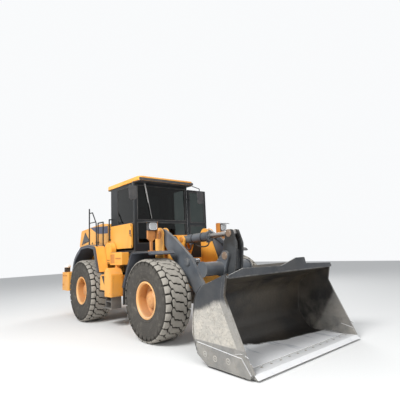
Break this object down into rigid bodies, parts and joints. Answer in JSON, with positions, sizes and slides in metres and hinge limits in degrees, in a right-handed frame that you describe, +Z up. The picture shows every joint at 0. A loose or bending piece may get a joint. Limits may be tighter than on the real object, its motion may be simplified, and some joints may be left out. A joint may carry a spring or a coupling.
{
  "type": "articulated wheel loader",
  "caption": "Articulated four-wheel front loader: bucket on lift arms with Z-bar linkage, centre hinge, glazed cab with open side door, rear hood and counterweight.",
  "frame": {"origin": "middle of the machine's overall box, on the ground", "axes": "+Z up, +Y toward the tail, +X toward the machine's left side; the bucket is at -Y"},
  "size_m": [2.9, 8.1, 3.56],
  "materials": {
    "body_yellow": "satin, dusty",
    "arm_grey": "satin, dusty",
    "fender_grey": "satin",
    "frame_black": "satin",
    "step_grey": "matt",
    "rim_orange": "satin, dusty",
    "tyre": "dusty",
    "window": "tinted",
    "chrome": "polished",
    "cast": "oily",
    "wear_steel": "worn",
    "pin_steel": "machined",
    "lamp": "glossy",
    "trim": "woven",
    "dark_plastic": "matt"
  },
  "bodies": {
    "rear_frame": {"rear_frame": "frame_black", "counterweight": "body_yellow", "engine": "cast", "cooler": "frame_black", "tanks": "body_yellow", "side_boxes": "body_yellow", "platforms": "body_yellow", "engine_cover": "body_yellow", "rear_axle": "cast", "drive_shaft_rear": "cast", "cab_frame": "frame_black", "cab_glass": "window", "cab_side_panel": "body_yellow", "cab_roof": "body_yellow", "seat": "trim", "steering_column": "dark_plastic", "rear_fender_left": "fender_grey", "rear_fender_right": "fender_grey", "handrails": "frame_black", "steps": "step_grey", "exhaust_stack": "frame_black", "tail_lamps": "lamp"},
    "hood": {"hood": "body_yellow"},
    "rear_grille": {"rear_grille": "frame_black"},
    "cab_door": {"cab_door": "frame_black", "cab_door_glass": "window"},
    "front_frame": {"front_frame": "body_yellow", "front_axle": "cast", "drive_shaft_front": "cast", "front_fender_left": "fender_grey", "front_fender_right": "fender_grey", "headlamps": "body_yellow"},
    "boom": {"boom": "arm_grey", "bellcrank_pin": "pin_steel"},
    "bellcrank": {"bellcrank": "arm_grey"},
    "bucket": {"bucket": "arm_grey", "cutting_edge": "wear_steel", "bucket_pins": "pin_steel", "link_pin": "pin_steel"},
    "tilt_link": {"tilt_link": "arm_grey"},
    "tilt_barrel": {"tilt_barrel": "arm_grey"},
    "tilt_rod": {"tilt_rod": "chrome"},
    "lift_barrel_left": {"lift_barrel_left": "arm_grey"},
    "lift_rod_left": {"lift_rod_left": "chrome"},
    "steer_barrel_left": {"steer_barrel_left": "frame_black"},
    "steer_rod_left": {"steer_rod_left": "chrome"},
    "lift_barrel_right": {"lift_barrel_right": "arm_grey"},
    "lift_rod_right": {"lift_rod_right": "chrome"},
    "steer_barrel_right": {"steer_barrel_right": "frame_black"},
    "steer_rod_right": {"steer_rod_right": "chrome"},
    "wheel_front_left": {"rim_front_left": "rim_orange", "tyre_front_left": "tyre"},
    "wheel_front_right": {"rim_front_right": "rim_orange", "tyre_front_right": "tyre"},
    "wheel_rear_left": {"rim_rear_left": "rim_orange", "tyre_rear_left": "tyre"},
    "wheel_rear_right": {"rim_rear_right": "rim_orange", "tyre_rear_right": "tyre"}
  },
  "joints": [
    {"name": "articulation", "type": "hinge", "parent": "rear_frame", "child": "front_frame", "pos_m": [0, 0.45, 1.06], "axis": [0, 0, 1], "range_deg": [-40, 40]},
    {"name": "hood_lift", "type": "hinge", "parent": "rear_frame", "child": "hood", "pos_m": [0, 3.712, 1.987], "axis": [-1, 0, 0], "range_deg": [0, 55]},
    {"name": "rear_grille_swing", "type": "hinge", "parent": "rear_frame", "child": "rear_grille", "pos_m": [0.795, 3.702, 1.7], "axis": [0, 0, -1], "range_deg": [0, 100]},
    {"name": "cab_door_swing", "type": "hinge", "parent": "rear_frame", "child": "cab_door", "pos_m": [0.822, 0.088, 2.5], "axis": [0, 0, 1], "range_deg": [0, 90]},
    {"name": "wheel_front_left_spin", "type": "hinge", "parent": "front_frame", "child": "wheel_front_left", "pos_m": [1.085, -1.2, 0.8], "axis": [1, 0, 0], "continuous": true},
    {"name": "wheel_front_right_spin", "type": "hinge", "parent": "front_frame", "child": "wheel_front_right", "pos_m": [-1.085, -1.2, 0.8], "axis": [1, 0, 0], "continuous": true},
    {"name": "wheel_rear_left_spin", "type": "hinge", "parent": "rear_frame", "child": "wheel_rear_left", "pos_m": [1.085, 2.1, 0.8], "axis": [1, 0, 0], "continuous": true},
    {"name": "wheel_rear_right_spin", "type": "hinge", "parent": "rear_frame", "child": "wheel_rear_right", "pos_m": [-1.085, 2.1, 0.8], "axis": [1, 0, 0], "continuous": true},
    {"name": "boom_lift", "type": "hinge", "parent": "front_frame", "child": "boom", "pos_m": [0, -0.84, 2.1], "axis": [-1, 0, 0], "range_deg": [0, 88]},
    {"name": "bucket_tilt", "type": "hinge", "parent": "boom", "child": "bucket", "pos_m": [0, -2.67, 0.42], "axis": [1, 0, 0], "range_deg": [-42, 118]},
    {"name": "bellcrank_turn", "type": "hinge", "parent": "boom", "child": "bellcrank", "pos_m": [0, -2.268, 1.595], "axis": [-1, 0, 0], "range_deg": [-8.88, 24.58]},
    {"name": "link_turn", "type": "hinge", "parent": "bucket", "child": "tilt_link", "pos_m": [0, -2.7, 0.7], "axis": [-1, 0, 0], "range_deg": [-32.78, 91.73]},
    {"name": "tilt_barrel_swing", "type": "hinge", "parent": "front_frame", "child": "tilt_barrel", "pos_m": [0, -0.85, 1.985], "axis": [-1, 0, 0], "range_deg": [0, 84.84]},
    {"name": "tilt_rod_slide", "type": "slide", "parent": "tilt_barrel", "child": "tilt_rod", "axis": [0, -0.9994, 0.0339], "range_m": [-0.1826, 0.0657]},
    {"name": "lift_barrel_swing_left", "type": "hinge", "parent": "front_frame", "child": "lift_barrel_left", "pos_m": [0.47, -0.7, 0.85], "axis": [-1, 0, 0], "range_deg": [0, 38.2]},
    {"name": "lift_rod_slide_left", "type": "slide", "parent": "lift_barrel_left", "child": "lift_rod_left", "axis": [0, -0.8503, 0.5264], "range_m": [0, 1.1318]},
    {"name": "steer_barrel_swing_left", "type": "hinge", "parent": "rear_frame", "child": "steer_barrel_left", "pos_m": [0.56, 1.25, 0.88], "axis": [0, 0, 1], "range_deg": [-7.57, 7.57]},
    {"name": "steer_rod_slide_left", "type": "slide", "parent": "steer_barrel_left", "child": "steer_rod_left", "axis": [-0.1229, -0.9924, 0], "range_m": [-0.3159, 0.3159]},
    {"name": "lift_barrel_swing_right", "type": "hinge", "parent": "front_frame", "child": "lift_barrel_right", "pos_m": [-0.47, -0.7, 0.85], "axis": [-1, 0, 0], "range_deg": [0, 38.2]},
    {"name": "lift_rod_slide_right", "type": "slide", "parent": "lift_barrel_right", "child": "lift_rod_right", "axis": [0, -0.8503, 0.5264], "range_m": [0, 1.1318]},
    {"name": "steer_barrel_swing_right", "type": "hinge", "parent": "rear_frame", "child": "steer_barrel_right", "pos_m": [-0.56, 1.25, 0.88], "axis": [0, 0, 1], "range_deg": [-7.57, 7.57]},
    {"name": "steer_rod_slide_right", "type": "slide", "parent": "steer_barrel_right", "child": "steer_rod_right", "axis": [0.1229, -0.9924, 0], "range_m": [-0.3159, 0.3159]}
  ],
  "couplings": [
    {"joint": "bellcrank_turn", "follows": "bucket_tilt", "ratio": 0.2066},
    {"joint": "link_turn", "follows": "bucket_tilt", "ratio": 0.7757},
    {"joint": "tilt_barrel_swing", "follows": "boom_lift", "ratio": 0.9618},
    {"joint": "tilt_rod_slide", "follows": "bucket_tilt", "m_per_rad": -0.0882},
    {"joint": "lift_barrel_swing_left", "follows": "boom_lift", "ratio": 0.43182},
    {"joint": "lift_rod_slide_left", "follows": "boom_lift", "m_per_rad": 0.73625},
    {"joint": "steer_barrel_swing_left", "follows": "articulation", "ratio": 0.18416},
    {"joint": "steer_rod_slide_left", "follows": "articulation", "m_per_rad": -0.45109},
    {"joint": "lift_barrel_swing_right", "follows": "boom_lift", "ratio": 0.43182},
    {"joint": "lift_rod_slide_right", "follows": "boom_lift", "m_per_rad": 0.73625},
    {"joint": "steer_barrel_swing_right", "follows": "articulation", "ratio": 0.18416},
    {"joint": "steer_rod_slide_right", "follows": "articulation", "m_per_rad": 0.45109}
  ]
}
